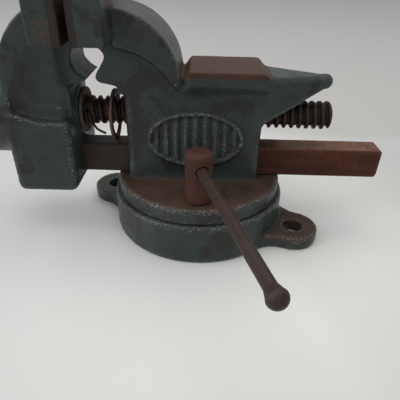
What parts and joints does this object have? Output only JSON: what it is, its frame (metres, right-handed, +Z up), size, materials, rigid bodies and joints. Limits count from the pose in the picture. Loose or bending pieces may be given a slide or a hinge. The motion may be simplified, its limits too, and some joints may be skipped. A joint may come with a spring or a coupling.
{
  "type": "bench vise",
  "caption": "Swivel-base bench vise with wide flat jaws, cast-in pipe jaws, a small anvil with a horn, a square slide bar and a screw turned by a sliding handle.",
  "frame": {"origin": "on the bench surface under the swivel axis, at the middle of the two bench bolts", "axes": "+Z up along the swivel axis; +X along the screw from the handle to the anvil horn; -Y is the side with the swivel lock"},
  "size_m": [0.2917, 0.2354, 0.1545],
  "materials": {
    "painted_casting": "worn dark grey-green enamel over rough grey cast iron, rust at the edges",
    "rusty_steel": "bar and washers gone matt red-brown with rust",
    "dark_steel": "oily dark brown-black steel of screw, handles and pins",
    "jaw_steel": "hardened toothed jaw plates, grey with brown stain"
  },
  "bodies": {
    "base": {"swivel_base": "painted_casting"},
    "vise_body": {"fixed_jaw_body": "painted_casting", "fixed_jaw_plate": "jaw_steel", "fixed_plate_screws": "dark_steel", "spindle_nut": "dark_steel", "nut_key": "dark_steel", "pivot_bolt": "dark_steel", "pivot_washer": "dark_steel", "lock_stud": "dark_steel"},
    "sliding_jaw": {"sliding_jaw": "painted_casting", "sliding_jaw_plate": "jaw_steel", "sliding_plate_screws": "dark_steel", "slide_bar": "rusty_steel", "slide_bar_pin": "dark_steel"},
    "spindle": {"spindle": "dark_steel", "thrust_washer": "dark_steel", "retaining_washer": "rusty_steel", "split_pin": "dark_steel"},
    "spindle_handle": {"spindle_handle": "dark_steel", "spindle_handle_ends": "dark_steel"},
    "loose_washer": {"loose_washer": "rusty_steel"},
    "lock_nut": {"lock_nut": "rusty_steel"},
    "lock_handle": {"lock_handle": "dark_steel", "lock_handle_outer_end": "dark_steel", "lock_handle_inner_end": "dark_steel"}
  },
  "joints": [
    {"name": "swivel", "type": "hinge", "parent": "base", "child": "vise_body", "pos_m": [0, 0, 0.0285], "axis": [0, 0, 1], "continuous": true},
    {"name": "jaw_slide", "type": "slide", "parent": "vise_body", "child": "sliding_jaw", "axis": [1, 0, 0], "range_m": [-0.0804, 0.0044]},
    {"name": "spindle_turn", "type": "hinge", "parent": "sliding_jaw", "child": "spindle", "pos_m": [-0.1523, 0, 0.082], "axis": [1, 0, 0], "range_deg": [-5700, 315]},
    {"name": "spindle_handle_slide", "type": "slide", "parent": "spindle", "child": "spindle_handle", "axis": [0, 1, 0], "range_m": [-0.051, 0.051]},
    {"name": "washer_slide", "type": "slide", "parent": "sliding_jaw", "child": "loose_washer", "axis": [1, 0, 0], "range_m": [-0.0025, 0.003]},
    {"name": "lock_nut_turn", "type": "hinge", "parent": "vise_body", "child": "lock_nut", "pos_m": [0, -0.043, 0.0393], "axis": [0, 0, 1], "range_deg": [-100, 70]},
    {"name": "lock_handle_slide", "type": "slide", "parent": "lock_nut", "child": "lock_handle", "axis": [0.284, -0.9588, 0], "range_m": [-0.003, 0.0058]}
  ],
  "couplings": [
    {"joint": "spindle_turn", "follows": "jaw_slide", "rad_per_m": 1236.8}
  ]
}
